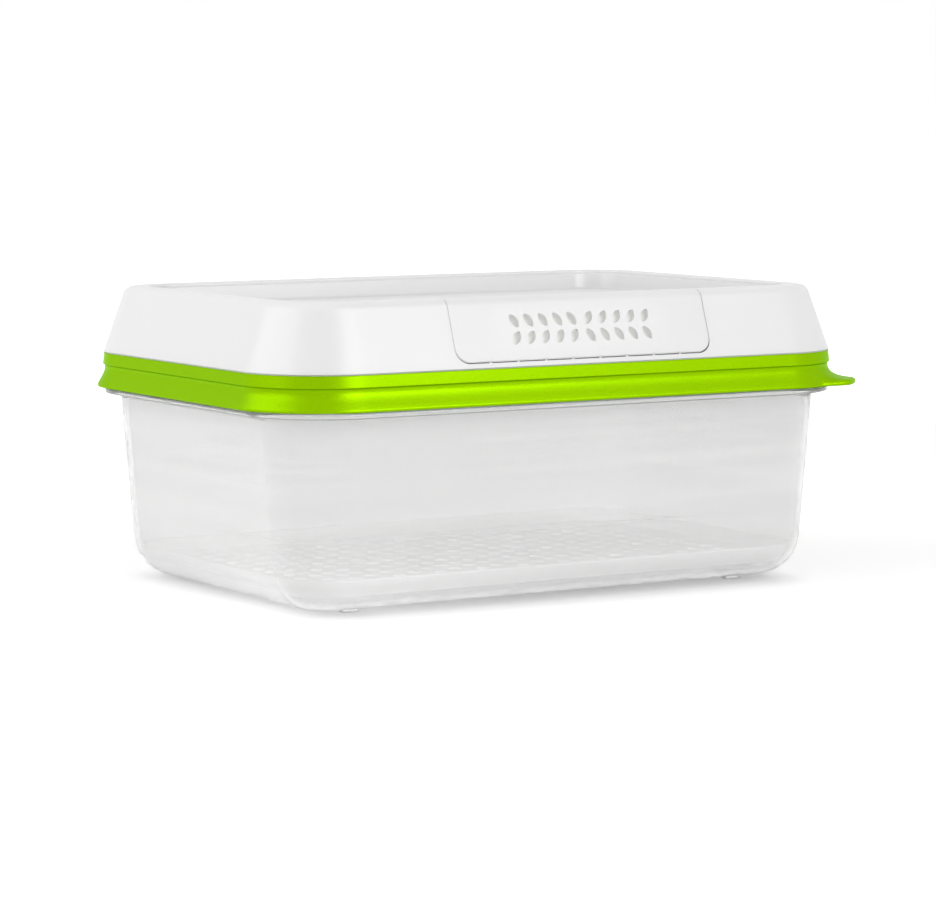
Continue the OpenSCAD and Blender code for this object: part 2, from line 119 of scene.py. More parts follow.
def moulded_piece(name, bm, body, slot, material, *nodes, sharp=40):
    """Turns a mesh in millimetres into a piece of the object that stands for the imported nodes."""
    bmesh.ops.remove_doubles(bm, verts=bm.verts, dist=SAME_POINT)
    bmesh.ops.dissolve_degenerate(bm, dist=SAME_POINT / 5, edges=bm.edges)
    bmesh.ops.recalc_face_normals(bm, faces=bm.faces)
    mesh = bpy.data.meshes.new(name)
    bm.to_mesh(mesh)
    bm.free()
    mesh.transform(Matrix.Scale(MM, 4))
    piece = bpy.data.objects.new(name, mesh)
    bpy.context.scene.collection.objects.link(piece)
    return dress(piece, body, material, nodes, sharp)


def dress(piece, body, material, nodes, sharp):
    """Smooths a piece's faces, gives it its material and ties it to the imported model."""
    mesh = piece.data
    mesh.polygons.foreach_set("use_smooth", [True] * len(mesh.polygons))
    mesh.set_sharp_from_angle(angle=radians(sharp))
    mesh.materials.clear()
    mesh.materials.append(material)
    piece.modifiers.new("flat faces stay flat", "WEIGHTED_NORMAL").keep_sharp = True
    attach(piece, body)
    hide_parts(*nodes)
    return piece


PATCHES_PER_METRE = 26


def moulded_grain():
    """Fine texture of a moulding: a spark-eroded grain and a slow unevenness of the skin."""
    group = bpy.data.node_groups.new("moulded grain", "ShaderNodeTree")
    for socket, kind in (("Grain size", "NodeSocketFloat"), ("Unevenness", "NodeSocketFloat")):
        group.interface.new_socket(socket, in_out="INPUT", socket_type=kind)
    for socket in ("Height", "Shade", "Gloss"):
        group.interface.new_socket(socket, in_out="OUTPUT", socket_type="NodeSocketFloat")
    add, link = group.nodes.new, group.links.new
    given, put = add("NodeGroupInput"), add("NodeGroupOutput")
    place = add("ShaderNodeTexCoord")
    per_metre = add("ShaderNodeMath")
    per_metre.operation = "DIVIDE"
    per_metre.inputs[0].default_value = 1
    link(given.outputs["Grain size"], per_metre.inputs[1])
    grain = add("ShaderNodeTexNoise")
    grain.inputs["Detail"].default_value = 3
    link(place.outputs["Object"], grain.inputs["Vector"])
    link(per_metre.outputs[0], grain.inputs["Scale"])
    slow = add("ShaderNodeTexNoise")
    slow.inputs["Scale"].default_value = PATCHES_PER_METRE
    slow.inputs["Detail"].default_value = 4
    link(place.outputs["Object"], slow.inputs["Vector"])
    uneven = add("ShaderNodeMath")
    uneven.operation = "MULTIPLY_ADD"
    link(slow.outputs["Fac"], uneven.inputs[0])
    link(given.outputs["Unevenness"], uneven.inputs[1])
    link(grain.outputs["Fac"], uneven.inputs[2])
    link(uneven.outputs[0], put.inputs["Height"])
    link(grain.outputs["Fac"], put.inputs["Shade"])
    link(slow.outputs["Fac"], put.inputs["Gloss"])
    return group


GRAIN = moulded_grain()
UNEVENNESS = 0.5


def plastic(name, pale, deep, rough, grain_size, relief):
    """Moulded plastic whose colour and gloss change a little with its grain, sized in metres."""
    made = bpy.data.materials.new(name)
    made.use_nodes = True
    tree = made.node_tree
    shader = tree.nodes["Principled BSDF"]
    grain = tree.nodes.new("ShaderNodeGroup")
    grain.node_tree = GRAIN
    grain.inputs["Grain size"].default_value = grain_size
    grain.inputs["Unevenness"].default_value = UNEVENNESS
    shade = tree.nodes.new("ShaderNodeMix")
    shade.data_type = "RGBA"
    shade.inputs["A"].default_value = (*deep, 1)
    shade.inputs["B"].default_value = (*pale, 1)
    gloss = tree.nodes.new("ShaderNodeMapRange")
    gloss.inputs["To Min"].default_value = rough * 0.8
    gloss.inputs["To Max"].default_value = min(rough * 1.2, 1)
    bump = tree.nodes.new("ShaderNodeBump")
    bump.inputs["Distance"].default_value = relief
    tree.links.new(grain.outputs["Shade"], shade.inputs["Factor"])
    tree.links.new(shade.outputs["Result"], shader.inputs["Base Color"])
    tree.links.new(grain.outputs["Gloss"], gloss.inputs["Value"])
    tree.links.new(gloss.outputs["Result"], shader.inputs["Roughness"])
    tree.links.new(grain.outputs["Height"], bump.inputs["Height"])
    tree.links.new(bump.outputs["Normal"], shader.inputs["Normal"])
    return made, shader


def let_lamps_through(made, shader, colour):
    """Lets lamp light pass a clear plastic, which Cycles would otherwise keep out of the box."""
    tree = made.node_tree
    passing = tree.nodes.new("ShaderNodeBsdfTransparent")
    passing.inputs["Color"].default_value = (*colour, 1)
    path = tree.nodes.new("ShaderNodeLightPath")
    choose = tree.nodes.new("ShaderNodeMixShader")
    tree.links.new(path.outputs["Is Shadow Ray"], choose.inputs[0])
    tree.links.new(shader.outputs["BSDF"], choose.inputs[1])
    tree.links.new(passing.outputs["BSDF"], choose.inputs[2])
    tree.links.new(choose.outputs["Shader"], tree.nodes["Material Output"].inputs["Surface"])


frosted, shader = plastic("natural_polypropylene", (0.89, 0.89, 0.89), (0.88, 0.88, 0.88),
                          rough=0.05, grain_size=0.008, relief=0.000001)
shader.inputs["Transmission Weight"].default_value = 0.76
shader.inputs["IOR"].default_value = 1.4
let_lamps_through(frosted, shader, (0.92, 0.92, 0.92))
# Streaks to the metre: few along the wall, many up it
STREAKS_ALONG, STREAKS_UP = 2.5, 190
STREAK_STRENGTH = 0.055


def flow_streaks(made, shader):
    """Long faint streaks that run level round a wall, where the melt flowed to fill the mould."""
    tree = made.node_tree
    place = tree.nodes.new("ShaderNodeTexCoord")
    stretch = tree.nodes.new("ShaderNodeMapping")
    stretch.inputs["Scale"].default_value = (STREAKS_ALONG, STREAKS_ALONG, STREAKS_UP)
    streak = tree.nodes.new("ShaderNodeTexNoise")
    streak.inputs["Scale"].default_value = 1
    streak.inputs["Detail"].default_value = 4
    darker = tree.nodes.new("ShaderNodeMapRange")
    darker.inputs["From Min"].default_value = 0.3
    darker.inputs["From Max"].default_value = 0.7
    darker.inputs["To Min"].default_value = 1 - STREAK_STRENGTH
    darker.inputs["To Max"].default_value = 1
    tinted = tree.nodes.new("ShaderNodeMix")
    tinted.data_type = "RGBA"
    tinted.blend_type = "MULTIPLY"
    tinted.inputs["Factor"].default_value = 1
    plain = shader.inputs["Base Color"].links[0].from_socket
    tree.links.new(place.outputs["Object"], stretch.inputs["Vector"])
    tree.links.new(stretch.outputs["Vector"], streak.inputs["Vector"])
    tree.links.new(streak.outputs["Fac"], darker.inputs["Value"])
    tree.links.new(plain, tinted.inputs["A"])
    tree.links.new(darker.outputs["Result"], tinted.inputs["B"])
    tree.links.new(tinted.outputs["Result"], shader.inputs["Base Color"])


flow_streaks(frosted, shader)
wall_slope = tan(WALL_DRAFT)
flange_low = FLANGE_Z - FLANGE_THICK
skin = WALL / cos(WALL_DRAFT)


def wall_out(up):
    """How far the outer face of the wall lies from the corner centre at a height."""
    return WALL_TOP_OUT - wall_slope * (flange_low - up)


floor_z = FOOT_HIGH + WALL
line_out = wall_out(MOULD_LINE_Z) - skin
base_section = rounded_line([
    (0, floor_z, 0),
    (wall_out(floor_z) - skin, floor_z, BOTTOM_ROUND - WALL),
    (line_out - 0.02, MOULD_LINE_Z - MOULD_LINE_HALF, 0),
    (line_out - MOULD_LINE_PROUD, MOULD_LINE_Z, 0.3),
    (line_out + 0.02, MOULD_LINE_Z + MOULD_LINE_HALF, 0),
    (wall_out(flange_low - 2) - skin, flange_low - 2, 4),
    (UPSTAND_OUT - WALL, FLANGE_Z + 1, 3),
    (UPSTAND_OUT - WALL, UPSTAND_Z, 0.9),
    (UPSTAND_OUT - 0.3, UPSTAND_Z, 0.6),
    (UPSTAND_OUT + UPSTAND_BEAD, UPSTAND_Z - 3, 0.7),
    (UPSTAND_OUT, UPSTAND_Z - 5.5, 1),
    (UPSTAND_OUT, FLANGE_Z, 0.7),
    (CORNER_RADIUS, FLANGE_Z, 1.1),
    (CORNER_RADIUS, flange_low, 1.1),
    (wall_out(flange_low), flange_low, 1.4),
    (wall_out(FOOT_HIGH), FOOT_HIGH, BOTTOM_ROUND),
    (0, FOOT_HIGH, 0),
])
bm = bmesh.new()
wrap_round_box(bm, lambda degrees: base_section, closed=False, steps=32)
close_middle(bm, floor_z)
close_middle(bm, FOOT_HIGH)
# Four small pads under the long walls, moulded in one with the floor, which they enter a little
FOOT_LENGTH, FOOT_WIDTH, FOOT_ROUND, FOOT_SUNK = 9, 4.6, 0.5, 0.2
FOOT_INWARD, FOOT_OUTWARD = 10, 3.95
foot_x = corner_x - FOOT_INWARD
foot_y = corner_y + FOOT_OUTWARD
for sign_x, sign_y, _ in CORNERS:
    place = Matrix.Translation((sign_x * foot_x, sign_y * foot_y, (FOOT_HIGH + FOOT_SUNK) / 2))
    size = Matrix.Diagonal((FOOT_LENGTH, FOOT_WIDTH, FOOT_HIGH + FOOT_SUNK, 1))
    pad = bmesh.ops.create_cube(bm, size=1, matrix=place @ size)["verts"]
    edges = {e for v in pad for e in v.link_edges}
    bmesh.ops.bevel(bm, geom=list(edges), offset=FOOT_ROUND, segments=3, profile=0.5,
                    affect="EDGES")
moulded_piece("frosted_base", bm, "box", "frosted_clear", frosted, "base")

# Crisper tray: a perforated tray moulded from the same plastic with a duller, milky skin. It lies
# loose on four short legs on the floor of the base and keeps the food out of the water there.
TRAY_Z = 11.3
TRAY_THICK = 1.8
TRAY_EDGE_Z = 17.3
TRAY_GAP = 1.2
HOLE_ACROSS = 6.4
HOLE_PITCH = 13
HOLE_BORDER = 9
FIELD_ROUND = 20
DIMPLE_ACROSS = 9
HOLE_SIDES = 20
HOLE_EASE = 0.35
LEG_ACROSS = 6
# The flat sheet ends this far inside its bend, where the swept edge takes over
SHEET_SHORT = 4
tray_low = TRAY_Z - TRAY_THICK
bend_z = FOOT_HIGH + BOTTOM_ROUND
bend_out = WALL_TOP_OUT - wall_slope * (flange_low - bend_z) - BOTTOM_ROUND / cos(WALL_DRAFT)


def bowl_out(up, inset):
    """How far the round between floor and wall, set in by inset, lies from the corner centre."""
    return bend_out + sqrt((BOTTOM_ROUND - inset) ** 2 - (bend_z - up) ** 2)


tray_inset = WALL + TRAY_GAP
flat_out = bowl_out(tray_low, tray_inset) - 1
inner_inset = tray_inset + TRAY_THICK
edge_heights = [TRAY_EDGE_Z - 0.8 * k for k in range(6)]
tray_edge = rounded_line([
    (flat_out - SHEET_SHORT, TRAY_Z, 0),
    (bowl_out(TRAY_Z + 0.4, inner_inset) - 0.5, TRAY_Z, 1.2),
    *[(bowl_out(z, inner_inset), z, 0) for z in reversed(edge_heights[1:])],
    (bowl_out(TRAY_EDGE_Z, inner_inset), TRAY_EDGE_Z, 0.6),
    (bowl_out(TRAY_EDGE_Z, tray_inset), TRAY_EDGE_Z, 0.6),
    *[(bowl_out(z, tray_inset), z, 0) for z in edge_heights[1:]],
    (bowl_out(tray_low + 1, tray_inset), tray_low + 1, 0),
    (bowl_out(tray_low, tray_inset), tray_low, 0.3),
    (flat_out - SHEET_SHORT, tray_low, 0),
])
row_step = HOLE_PITCH * sqrt(3) / 2
field_x = corner_x + flat_out - HOLE_BORDER - HOLE_ACROSS / 2
field_y = corner_y + flat_out - HOLE_BORDER - HOLE_ACROSS / 2
rows_each_way = int(field_x / row_step)
holes_each_way = int(field_y / HOLE_PITCH) + 1
hole_spots = []
for i in range(-rows_each_way, rows_each_way + 1):
    for j in range(-holes_each_way, holes_each_way + 1):
        x, y = i * row_step, j * HOLE_PITCH + (HOLE_PITCH / 2 if i % 2 else 0)
        past_x, past_y = abs(x) - field_x, abs(y) - field_y
        past = hypot(max(past_x + FIELD_ROUND, 0), max(past_y + FIELD_ROUND, 0))
        in_field = past_x <= 0 and past_y <= 0 and past <= FIELD_ROUND
        if in_field and hypot(x, y) > HOLE_PITCH / 2:
            hole_spots.append(Vector((x, y)))


def circle(centre, radius):
    """Points round a circle in the plane of the tray."""
    turns = [2 * pi * k / HOLE_SIDES for k in range(HOLE_SIDES)]
    return [centre + Vector((cos(a), sin(a))) * radius for a in turns]


def perforated_sheet(bm, outline, openings, up):
    """Flat sheet inside the outline, less the round openings, each given as (centre, radius)."""
    points, edges = [], []
    for loop in [outline] + [circle(c, r) for c, r in openings]:
        first = len(points)
        points += loop
        edges += [(first + k, first + (k + 1) % len(loop)) for k in range(len(loop))]
    flat, _, faces, *_ = geometry.delaunay_2d_cdt(points, edges, [], 1, 1e-5)
    verts = [bm.verts.new((p.x, p.y, up)) for p in flat]
    # Faces whose middle lies in an opening, which has straight sides, are left out
    for face in faces:
        middle = sum((flat[k] for k in face), Vector((0, 0))) / len(face)
        if all((middle - c).length > r * 0.97 for c, r in openings):
            bm.faces.new([verts[k] for k in face])


def turned_wall(bm, centre, profile, material=0):
    """Round wall through (radius, height) points, about an upright axis."""
    rings = [[bm.verts.new((p.x, p.y, up)) for p in circle(centre, r)] for r, up in profile]
    for ring, after in zip(rings, rings[1:]):
        for k in range(HOLE_SIDES):
            j = (k + 1) % HOLE_SIDES
            face = bm.faces.new((ring[k], ring[j], after[j], after[k]))
            face.material_index = material
    return rings


tray_clear, shader = plastic("tray_polypropylene", (0.96, 0.96, 0.96), (0.93, 0.93, 0.93),
                             rough=0.3, grain_size=0.0011, relief=0.000004)
shader.inputs["Transmission Weight"].default_value = 0.6
shader.inputs["IOR"].default_value = 1.4
let_lamps_through(tray_clear, shader, (0.88, 0.88, 0.88))
# Painted light: the milky sheet glows a little at its faces, and more at the walls of the holes
FACE_PAINTED_GLOW = 0.15
HOLE_WALL_PAINTED_GLOW = 0.6
shader.inputs["Emission Strength"].default_value = FACE_PAINTED_GLOW
hole_wall_glow_material = tray_clear.copy()
hole_wall_glow_material.name = "tray_polypropylene_painted_glow_edge"
hole_wall_glow_material.node_tree.nodes["Principled BSDF"].inputs["Emission Strength"].default_value = HOLE_WALL_PAINTED_GLOW

bm = bmesh.new()
TRAY_TURN_STEPS = 24
wrap_round_box(bm, lambda degrees: tray_edge, closed=False, steps=TRAY_TURN_STEPS)
sheet_outline = []
for sign_x, sign_y, start in CORNERS:
    for k in range(TRAY_TURN_STEPS + 1):
        a = radians(start + 90 * k / TRAY_TURN_STEPS)
        corner = Vector((sign_x * corner_x, sign_y * corner_y))
        sheet_outline.append(corner + Vector((cos(a), sin(a))) * (flat_out - SHEET_SHORT))
hole_r = HOLE_ACROSS / 2
dimple_r = DIMPLE_ACROSS / 2
middle = Vector((0, 0))
openings = [(spot, hole_r + HOLE_EASE) for spot in hole_spots]
perforated_sheet(bm, sheet_outline, openings + [(middle, dimple_r)], TRAY_Z)
perforated_sheet(bm, sheet_outline, openings, tray_low)
hole_wall = [
    (hole_r + HOLE_EASE, TRAY_Z),
    (hole_r + 0.1, TRAY_Z - 0.1),
    (hole_r, TRAY_Z - HOLE_EASE),
    (hole_r, tray_low + HOLE_EASE),
    (hole_r + 0.1, tray_low + 0.1),
    (hole_r + HOLE_EASE, tray_low),
]
for spot in hole_spots:
    turned_wall(bm, spot, hole_wall, material=1)
# A shallow dish in the middle of the tray, where the plastic entered the mould
dish_wall = [(dimple_r, TRAY_Z), (dimple_r - 0.3, TRAY_Z - 0.45), (dimple_r - 0.9, TRAY_Z - 0.6)]
dish = turned_wall(bm, middle, dish_wall)
bm.faces.new(dish[-1])
# Each leg stands midway between three holes
leg_x = (2 * int((corner_x - LEG_ACROSS) / (2 * row_step)) + 1 / 3) * row_step
leg_y = (int((corner_y - LEG_ACROSS) / HOLE_PITCH - 0.5) + 0.5) * HOLE_PITCH
leg_r = LEG_ACROSS / 2
leg = [
    (leg_r, tray_low + 0.4),
    (leg_r, floor_z + 0.5),
    (leg_r - 0.15, floor_z + 0.15),
    (leg_r - 0.5, floor_z),
]
for sign_x, sign_y, _ in CORNERS:
    rings = turned_wall(bm, Vector((sign_x * leg_x, sign_y * leg_y)), leg)
    bm.faces.new(rings[0])
    bm.faces.new(rings[-1])
tray = moulded_piece("crisper_tray_moulding", bm, "box", "tray_clear", tray_clear, "crisper_tray")
tray.data.materials.append(hole_wall_glow_material)

# Soft rim: the green ring overmoulded in a rubbery plastic on the foot of the lid. A channel in it
# grips the upstand of the base, and its hollow skirt flares out over the flange, and further out
# into the lift tab at the front right corner.
SEAM_Z = 110.5
BAND_OUT = 40.8
CREASE_Z = 104
CREASE_IN = 0.9
LIP_OUT = 43.4
LIP_Z = 93.8
LIP_THICK = 1.3
TAB_REACH = 10
TAB_RISE = 2.7
TAB_CORNER = 315
TAB_FLAT = 7
TAB_SPREAD = 24
RIM_IN = 30.5
RIM_TOP_Z = 105.9
CHANNEL_IN, CHANNEL_OUT = 32.1, 35.7
CHANNEL_FOOT_Z, CHANNEL_ROOF_Z = 97.2, 103.7
UNDER_OUT, UNDER_Z = 40.8, 94.4
FLARE_STEPS = 16
# The shell's foot goes down into the rim as a tongue
TONGUE_OUT = 38.4
TONGUE_THICK = 1.3
TONGUE_DEEP = 3.6


def tab_share(degrees):
    """1 across the lift tab, 0 along the plain skirt, and an easy sweep between."""
    off = abs(degrees - TAB_CORNER)
    share = min(max((TAB_SPREAD - off) / (TAB_SPREAD - TAB_FLAT), 0), 1)
    return share * share * (3 - 2 * share)


def rim_section(degrees):
    """Channel, sealing lip, upper band and flared skirt, drawn out where the tab is."""
    t = tab_share(degrees)
    crease = Vector((BAND_OUT - CREASE_IN, CREASE_Z))
    lip_top = Vector((LIP_OUT - 0.1 + (TAB_REACH - 1.3) * t,
                      LIP_Z + LIP_THICK + (TAB_RISE - 0.9) * t))
    # Handles of the curve that sweeps out from the crease to the lip
    down = crease + Vector((-0.35, -3.4 - 1.4 * t))
    along = lip_top + Vector((-1.6 - 6.6 * t, 3.2 - 2.7 * t))
    flare = []
    for k in range(1, FLARE_STEPS):
        u = k / FLARE_STEPS
        bend = crease * (1 - u) ** 3 + down * 3 * u * (1 - u) ** 2
        bend += along * 3 * u * u * (1 - u) + lip_top * u ** 3
        flare.append((bend.x, bend.y, 0))
    tip = LIP_OUT + TAB_REACH * t
    return rounded_line([
        (RIM_IN, CHANNEL_FOOT_Z, 0.5),
        (CHANNEL_IN, CHANNEL_FOOT_Z, 0.5),
        (CHANNEL_IN, CHANNEL_ROOF_Z, 0.3),
        (CHANNEL_OUT, CHANNEL_ROOF_Z, 0.3),
        (CHANNEL_OUT, CHANNEL_FOOT_Z + 1.2, 1.2),
        (UNDER_OUT, UNDER_Z + 1.7 * t, 0),
        (UNDER_OUT + 0.5 + 9.5 * t, UNDER_Z - 0.3 + 1.9 * t, 0),
        (LIP_OUT - 1.7 + TAB_REACH * t, LIP_Z + 0.3 * t, 0.3),
        (tip, LIP_Z + 0.4 * t, 0.4 + 0.3 * t),
        (tip, LIP_Z + 0.9 + 1.2 * t, 0.4 + 0.2 * t),
        (lip_top.x, lip_top.y, 0.3),
        *reversed(flare),
        (crease.x, crease.y, 0.25),
        (BAND_OUT, CREASE_Z + 0.6, 0.35),
        (BAND_OUT - 0.7, SEAM_Z - 0.5, 0.4),
        (TONGUE_OUT + TONGUE_THICK + 0.1, SEAM_Z - 0.15, 0.25),
        (TONGUE_OUT + TONGUE_THICK + 0.1, SEAM_Z - TONGUE_DEEP, 0.1),
        (TONGUE_OUT, SEAM_Z - TONGUE_DEEP, 0.1),
        (TONGUE_OUT, SEAM_Z, 0.1),
        (TONGUE_OUT - 0.8, RIM_TOP_Z, 0.6),
        (RIM_IN, RIM_TOP_Z, 0.6),
    ], closed=True)


green, shader = plastic("green_soft_rim", (0.295, 0.58, 0.0006), (0.238, 0.475, 0.0004),
                        rough=0.3, grain_size=0.0008, relief=0.0001)
shader.inputs["IOR"].default_value = 1.15
shader.inputs["Specular IOR Level"].default_value = 0.1
shader.inputs["Specular Tint"].default_value = (0.55, 0.95, 0.05, 1)
shader.inputs["Metallic"].default_value = 0.32
bm = bmesh.new()
wrap_round_box(bm, rim_section, closed=True, steps=60)
moulded_piece("green_rim", bm, "lid", "rim_green", green, "soft_rim", sharp=60)

# Lid shell: the white upper part of the lid, moulded from opaque polypropylene with a satin skin.
# Its walls lean in and roll over into a flat land round a sunk deck, and a pocket in the front wall
# holds the vent.
SHELL_FOOT_OUT = 40.4
SHELL_LEAN = radians(19.3)
SHELL_TOP = 141.5
SHELL_THICK = 2.2
ROLL_ROUND = 5
LAND_IN = 18
DECK_Z = 132
STEP_DEEP = 1.8
STEP_WIDE = 1.2
RECESS_LEAN = radians(9)
lean = tan(SHELL_LEAN)
shell_skin = SHELL_THICK / cos(SHELL_LEAN)
shell_rise = SHELL_TOP - SEAM_Z
wall_top = SHELL_FOOT_OUT - lean * shell_rise
recess_foot = LAND_IN - STEP_WIDE - tan(RECESS_LEAN) * (SHELL_TOP - STEP_DEEP - DECK_Z)
under = SHELL_TOP - SHELL_THICK
shell_section = rounded_line([
    (0, DECK_Z, 0),
    (recess_foot, DECK_Z, 1.6),
    (LAND_IN - STEP_WIDE, SHELL_TOP - STEP_DEEP, 0.4),
    (LAND_IN, SHELL_TOP - STEP_DEEP, 0.3),
    (LAND_IN, SHELL_TOP, 0.9),
    (wall_top, SHELL_TOP, ROLL_ROUND),
    (SHELL_FOOT_OUT, SEAM_Z, 0.35),
    (TONGUE_OUT + TONGUE_THICK, SEAM_Z, 0.1),
    (TONGUE_OUT + TONGUE_THICK, SEAM_Z - TONGUE_DEEP, 0.3),
    (TONGUE_OUT, SEAM_Z - TONGUE_DEEP, 0.3),
    (TONGUE_OUT, SEAM_Z + 0.4, 0.2),
    (SHELL_FOOT_OUT - shell_skin - lean * 0.6, SEAM_Z + 0.6, 0.2),
    (wall_top - shell_skin + lean * SHELL_THICK, under, ROLL_ROUND - SHELL_THICK),
    (LAND_IN + SHELL_THICK, under, 1.2),
    (LAND_IN + SHELL_THICK, under - STEP_DEEP, 0.3),
    (LAND_IN + SHELL_THICK - STEP_WIDE, under - STEP_DEEP, 0.3),
    (recess_foot + SHELL_THICK, DECK_Z - SHELL_THICK, 1.2),
    (0, DECK_Z - SHELL_THICK, 0),
])
white, shader = plastic("white_polypropylene", (0.845, 0.845, 0.845), (0.825, 0.825, 0.825),
                        rough=0.32, grain_size=0.0007, relief=0.00002)
shader.inputs["Subsurface Weight"].default_value = 0.35
shader.inputs["Subsurface Radius"].default_value = (1, 1, 1)
shader.inputs["Subsurface Scale"].default_value = 0.003


def painted_nook_shade(made, reach, least):
    """Paints shade: takes the colour down, to a least share, where other faces stand within reach,
    in metres.
    """
    tree = made.node_tree
    shader = tree.nodes["Principled BSDF"]
    openness = tree.nodes.new("ShaderNodeAmbientOcclusion")
    openness.samples = 8
    openness.inputs["Distance"].default_value = reach
    share = tree.nodes.new("ShaderNodeMapRange")
    share.inputs["To Min"].default_value = least
    held = tree.nodes.new("ShaderNodeVectorMath")
    held.operation = "SCALE"
    tree.links.new(openness.outputs["AO"], share.inputs["Value"])
    tree.links.new(share.outputs["Result"], held.inputs["Scale"])
    tree.links.new(shader.inputs["Base Color"].links[0].from_socket, held.inputs["Vector"])
    tree.links.new(held.outputs["Vector"], shader.inputs["Base Color"])


# Painted shade: the shell's white is darker where other faces stand close, as in the deck's recess
# and round the pocket
shell_white_painted_shade = white.copy()
shell_white_painted_shade.name = "white_polypropylene_shell_painted_shade"
painted_nook_shade(shell_white_painted_shade, reach=0.03, least=0.73)

# Line up the front wall, over the roll and along the land, and how far up it each point lies
front_line = rounded_line([
    (SHELL_FOOT_OUT, SEAM_Z, 0),
    (wall_top, SHELL_TOP, ROLL_ROUND),
    (LAND_IN, SHELL_TOP, 0),
])
front_up = [0]
for a, b in zip(front_line, front_line[1:]):
    front_up.append(front_up[-1] + (b - a).length)


def on_front(x, along, deep):
    """Point of the lid's front: along is measured up its skin from the seam, deep is into it."""
    k = 0
    while k < len(front_line) - 2 and front_up[k + 1] < along:
        k += 1
    a, b = front_line[k], front_line[k + 1]
    spot = a + (b - a) * ((along - front_up[k]) / (front_up[k + 1] - front_up[k]))
    roll_start, roll_end = front_up[1], front_up[-2]
    share = min(max((along - roll_start) / (roll_end - roll_start), 0), 1)
    turn = SHELL_LEAN + (pi / 2 - SHELL_LEAN) * share
    spot = spot - Vector((cos(turn), sin(turn))) * deep
    return Vector((x, -corner_y - spot.x, spot.y))


PANEL_ROUND_STEPS = 8


def front_panel(bm, half_length, along_low, along_high, round_, deep_out, deep_in):
    """Panel that follows the lid's front over the roll, with two round corners at its foot."""
    turns = [pi / 2 * k / PANEL_ROUND_STEPS for k in range(PANEL_ROUND_STEPS + 1)]
    rows = [along_low + round_ * (1 - cos(a)) for a in turns]
    rows += [up for up in front_up[1:-1] if rows[-1] < up < along_high] + [along_high]
    loops = []
    for along in rows:
        rise = max(round_ - (along - along_low), 0)
        half = half_length - round_ + sqrt(max(round_ ** 2 - rise ** 2, 0))
        corners = ((-half, deep_out), (half, deep_out), (half, deep_in), (-half, deep_in))
        loops.append([bm.verts.new(on_front(x, along, deep)) for x, deep in corners])
    for low, high in zip(loops, loops[1:]):
        for k in range(4):
            bm.faces.new((low[k], low[(k + 1) % 4], high[(k + 1) % 4], high[k]))
    bm.faces.new(loops[0])
    bm.faces.new(loops[-1])


def solid_object(name, bm):
    """Closed mesh in metres, for joining to or cutting from another."""
    bmesh.ops.recalc_face_normals(bm, faces=bm.faces)
    mesh = bpy.data.meshes.new(name)
    bm.to_mesh(mesh)
    bm.free()
    mesh.transform(Matrix.Scale(MM, 4))
    solid = bpy.data.objects.new(name, mesh)
    bpy.context.scene.collection.objects.link(solid)
    return solid


def carve(solid, tool, operation):
    """Joins the tool to the solid or cuts it away, and removes the tool."""
    step = solid.modifiers.new(operation, "BOOLEAN")
    step.operation = operation
    step.object = tool
    step.solver = "MANIFOLD"
    graph = bpy.context.evaluated_depsgraph_get()
    carved = bpy.data.meshes.new_from_object(solid.evaluated_get(graph))
    solid.modifiers.clear()
    solid.data = carved
    bpy.data.objects.remove(tool)


def ease_edges(solid, width, least):
    """Rounds every edge that turns by more than the least angle, in degrees, as a mould does."""
    step = solid.modifiers.new("eased edges", "BEVEL")
    step.width = width * MM
    step.segments = 2
    step.limit_method = "ANGLE"
    step.angle_limit = radians(least)
    step.miter_outer = "MITER_ARC"
    step.use_clamp_overlap = True
    graph = bpy.context.evaluated_depsgraph_get()
    eased = bpy.data.meshes.new_from_object(solid.evaluated_get(graph))
    solid.modifiers.clear()
    solid.data = eased


COVER_HALF = 68.5
COVER_GAP = 0.3
COVER_FOOT = 3
COVER_ROUND = 7
SLOT_HIGH = 0.8
LINER_THICK = 1.8
FILTER_THICK = 0.5
LEAF_RISE = 16.5
# How far the pocket's cutter stands out of the wall, and the liner stops short of the land's end
CUTTER_OUT = 2
LINER_SHORT = 1
per_rise = 1 / cos(SHELL_LEAN)
# The filter lies on the floor of the pocket, so its back face gives the pocket's depth
filter_low, filter_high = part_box("vent_filter")
filter_mid = (filter_low + filter_high) / 2 / MM
wall_mid = on_front(0, LEAF_RISE * per_rise, 0)
out_of_wall = Vector((0, -cos(SHELL_LEAN), sin(SHELL_LEAN)))
pocket_deep = (wall_mid - filter_mid).dot(out_of_wall) + FILTER_THICK / 2
pocket_half = COVER_HALF + COVER_GAP
pocket_low = (COVER_FOOT - SLOT_HIGH) * per_rise
land_end = front_up[-1] - SHELL_THICK
bm = bmesh.new()
wrap_round_box(bm, lambda degrees: shell_section, closed=False, steps=32)
close_middle(bm, DECK_Z)
close_middle(bm, DECK_Z - SHELL_THICK)
bmesh.ops.remove_doubles(bm, verts=bm.verts, dist=SAME_POINT)
bmesh.ops.dissolve_degenerate(bm, dist=SAME_POINT / 5, edges=bm.edges)
shell = solid_object("white_lid", bm)
# The pocket's lining is joined on behind the wall, then the pocket is cut out of both
bm = bmesh.new()
front_panel(bm, pocket_half + LINER_THICK, pocket_low - LINER_THICK, front_up[-1] - LINER_SHORT,
            COVER_ROUND + LINER_THICK, SHELL_THICK / 2, pocket_deep + LINER_THICK)
carve(shell, solid_object("tub", bm), "UNION")
bm = bmesh.new()
front_panel(bm, pocket_half, pocket_low, land_end, COVER_ROUND, -CUTTER_OUT, pocket_deep)
carve(shell, solid_object("pocket", bm), "DIFFERENCE")
ease_edges(shell, width=0.2, least=32)
dress(shell, "lid", shell_white_painted_shade, ("lid_shell",), sharp=30)

